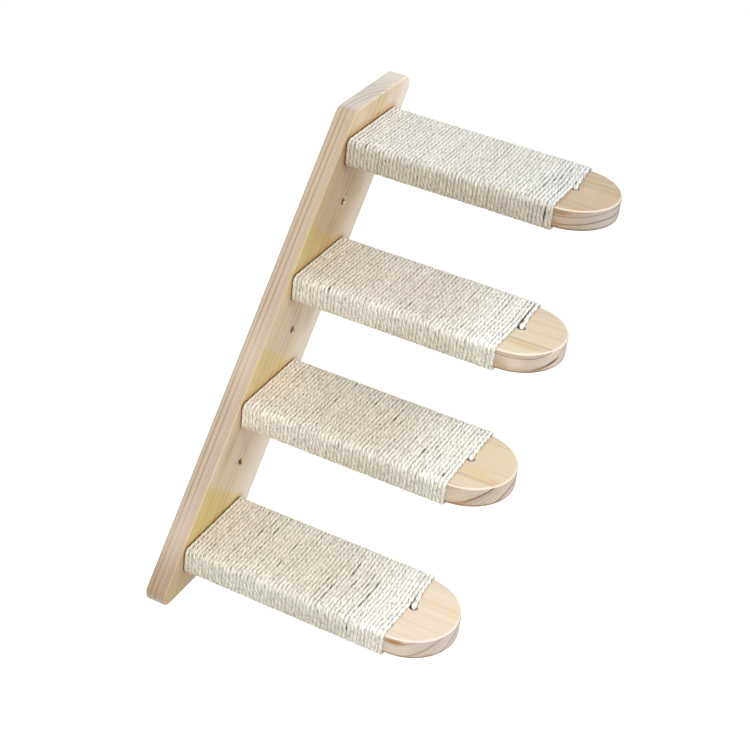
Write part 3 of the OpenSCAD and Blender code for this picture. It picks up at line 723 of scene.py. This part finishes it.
# Painted light and shade round the step, the same on the tops of the lower three
painted_shade_over_top = [(74, "#FFFFFF"), (90, "#F8F6F2"), (130, "#F8F6F2"), (139, "#FFFFFF")]
painted_light_round_step = painted_shade_over_top + [(144, "#FAFAF8"), (148, "#FFFFFF"), (154, "#FFFFFF"), (160, "#FAF8F2"), (165, "#F8F4EC")]
windings = [
    # painted light and shade: tones beside the board, in the middle and at the last turns, the tone round the step
    # and how much of it is left at the last turns, and the painted tone of their near side there; then gaps
    # between strands as (distance from the board, mm round the turn, length), how far the last turn is drawn back
    # near, in the middle and far, and the gap before its last half
    (("#E7E4DC", "#E9E8E1", "#EAE9E5"),
     [(60, "#FFFFFF"), (142, "#FFFFFF"), (146, "#E4E0D8"), (151, "#D9D0BC"), (165, "#D5CAB3")], 1, "#F5F4F6",
     [(177.8, 154.5, 10), (178.6, 113.7, 10), (170.8, 78.7, 8), (16.7, 142.8, 6), (158.7, 108.3, 10),
      (168.1, 103.9, 6), (175.4, 121.1, 5), (175.2, 107.6, 5), (164.3, 117.6, 4), (171, 95.9, 5)],
     (0, 0.4, 3.4), 0),
    (("#E2DAC8", "#EAE4D9", "#FAFAF6"), painted_light_round_step, 0.15, "#E6E4D8",
     [(180.9, 87.9, 36), (98.8, 127.7, 8), (134.4, 81.9, 6), (127.6, 130.2, 5), (146.7, 134, 4),
      (163.8, 84.6, 4), (31.9, 144.1, 3), (147.6, 151.6, 4)],
     (2.4, 1.4, 2.6), 0.6),
    (("#EDE5D4", "#E7E1D3", "#F8F8F1"), painted_light_round_step, 0.15, "#E7E5DD",
     [(110.7, 91.6, 10), (162.4, 118.6, 9), (117.7, 95, 8), (149.5, 118.8, 8), (88.8, 81.8, 6), (60.3, 95.7, 5),
      (176.5, 138.3, 4), (61.8, 66.4, 3), (155.6, 107.4, 3)],
     (0.2, 0.3, 0.3), 0),
    (("#E6DFCE", "#EDE9DC", "#FAF9F5"),
     painted_shade_over_top + [(144, "#F6F6F4"), (149, "#F4F6F5"), (154, "#F2F4F2"), (160, "#EEEEE9"), (165, "#EAE9E2")],
     0.1, "#EEEBE4",
     [(149.3, 98, 5), (149.3, 112, 5), (149.3, 125, 6), (120.5, 120, 5), (120.5, 133, 6), (70.9, 94.2, 11),
      (40.3, 93.1, 9), (43.8, 76.3, 8), (135.1, 80, 6), (135.1, 90, 6), (142.2, 91, 7), (142.2, 104, 8),
      (127.3, 85, 7), (127.3, 96, 7), (134.8, 106, 8), (71.4, 119.3, 8), (47.8, 84.2, 8), (140.7, 153.1, 6),
      (114.5, 134.4, 7), (114.5, 114.2, 6), (148.2, 151.9, 8)],
     (3, 1.2, 3.2), 0),
]
for k, (z, (tones, sides, fade, painted_last_side, gaps, drawn_back, last_gap)) in enumerate(zip(step_z, windings), 1):
    rng = np.random.default_rng(40 + k)
    rope = sisal(f"sisal_bleached_three_ply_{k}", tones, sides, fade, painted_last_side)
    length, points, normal = winding_line(rng, gaps, drawn_back, last_gap)
    rings_at, lay, crest, outward, facing_gap = rope_rings(rng, length, points, normal, gaps)
    piece = tubes(f"sisal_rope_{k}", to_room(rings_at, z)[None], rope, "sisal", f"sisal_winding_{k}")
    ends_lay = np.stack([lay[0].mean(0), lay[-1].mean(0)])
    piece.data.attributes.new("rope_lay", "FLOAT_VECTOR", "POINT").data.foreach_set(
        "vector", np.concatenate([lay.reshape(-1, 3), ends_lay]).astype(np.float32).ravel())
    around = np.repeat(length % turn_len / turn_len, plies_n * ply_points)
    for name, values, at_ends in (("rope_crest", crest, 1.5), ("rope_outward", outward, 1.0),
                                  ("rope_around", around, 0.1), ("rope_gap", facing_gap, 0.0)):
        piece.data.attributes.new(name, "FLOAT", "POINT").data.foreach_set(
            "value", np.append(values.ravel(), [at_ends, at_ends]).astype(np.float32))
    fibres = loose_fibres(rng, fibres_n, points, normal)
    tubes(f"sisal_fibres_{k}", to_room(fibres, z), loose_sisal, "sisal")

# Step screws: two countersunk wood screws for each step, 4 by 45 mm, of zinc-plated steel. They are driven
# through the back board from behind, and their heads lie just under its back face.
head_r, shank_r, core_r, screw_len, head_sink, screw_off = 3.95, 1.95, 1.35, 45, 0.3, 26
thread_pitch, thread_from, thread_to = 2.1, 14, 42


def turned_pairs(heights, radii, off, sink):
    """Turned pieces that run out of the wall into the steps, two for each, off to the left and right of its
    middle, as tubes: each ring lies at its height, and its radius may vary round it."""
    radii, heights = np.broadcast_arrays(radii, heights)
    backwards = -np.arange(radii.shape[1]) * 2 * math.pi / radii.shape[1]
    rings_at = np.stack([radii * np.cos(backwards), -heights, radii * np.sin(backwards)], -1)
    starts = np.array([(z * math.tan(lean) + x, -sink, z) for z in step_z for x in (-off, off)])
    return (rings_at + starts[:, None, None]) / 1000


# The cross recess goes down where the head is near either axis and near its middle. The thread is a ridge
# halfway up each pitch, which climbs by one pitch a turn and grows over its first 3 mm.
screw_sides = 32
turned = np.arange(screw_sides) * 2 * math.pi / screw_sides
level = np.ones(screw_sides)
top_r = np.linspace(0.3, 3.7, 12)[:, None]
face_x, face_z = np.abs(top_r * np.cos(turned)), np.abs(top_r * np.sin(turned))
cross = np.clip((0.8 - np.minimum(face_x, face_z)) / 0.35, 0, 1)
cross = cross * np.clip((2.6 - np.maximum(face_x, face_z)) / 0.5, 0, 1)
recess = 1.5 * cross * (1 - 0.15 * top_r)
thread_h = np.arange(thread_from, thread_to, thread_pitch / 8)[:, None]
phase = (thread_h / thread_pitch + turned / (2 * math.pi)) % 1
grown = np.clip((thread_h - thread_from) / 3, 0, 1)
ridge = np.clip(1 - np.abs(phase - 0.5) / 0.22, 0, 1) * grown + 0.25 * (1 - grown)
# Rings as (depth, radius): the head, its cone and the smooth shank, and the point
upper = np.array([(0.1, 3.9), (0.3, head_r), (2.3, shank_r), (2.6, 1.85), (thread_from - 0.3, 1.85)])
point = np.array([(thread_to + 0.4, core_r), (screw_len, 0.12)])
screw_h = np.concatenate([recess, upper[:, :1] * level, thread_h * level, point[:, :1] * level])
screw_r = np.concatenate([top_r * level, upper[:, 1:] * level, core_r + (shank_r - core_r) * ridge,
                          point[:, 1:] * level])

# Zinc plating: bright metal, faintly clouded about every millimetre
zinc, tree, shader, cloudy = mottled("steel_zinc_plated", (1, 1, 1), 900, 3, (0, 1), ("#B9BDBE", "#DCDEDC"), 0.36)
shader.inputs["Metallic"].default_value = 1.0
tree.links.new(add(tree, "Math", {0: cloudy, 1: 0.2, 2: 0.26}, operation="MULTIPLY_ADD"),
               shader.inputs["Roughness"])
tubes("step_screws_zinc", turned_pairs(screw_h, screw_r, screw_off, head_sink), zinc, "zinc_steel", "step_screws")

# Dowels: two fluted beech dowels for each step, 8 by 30 mm with chamfered ends, glued into the board and the
# step between the screws. They only show when the steps are taken off.
# Flutes are the positive halves of a cosine round the middle stretch
dowel_sides, flutes_n, flute_depth, dowel_sink, dowel_off = 96, 24, 0.24, 6, 11
dowel_h = np.array([0, 1, 1.6, 28.4, 29, 30])[:, None]
fluted = np.array([0, 0, 1, 1, 0, 0])[:, None]
flutes = flute_depth * np.clip(np.cos(flutes_n * np.arange(dowel_sides) * 2 * math.pi / dowel_sides), 0, 1)
dowel_r = np.array([3.0, 3.97, 3.97, 3.97, 3.97, 3.0])[:, None] - fluted * flutes

# Beech: an even pinkish wood with fine dark pores, 0.6 by 6 mm
beech = mottled("beech_turned_fluted", (1, 0.1, 1), 1600, 3, (0.35, 0.6), ("#B98F66", "#DDBB92"), 0.62)[0]
tubes("step_dowels_beech", turned_pairs(dowel_h, dowel_r, dowel_off, dowel_sink), beech, "beech", "step_dowels")

low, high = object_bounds()
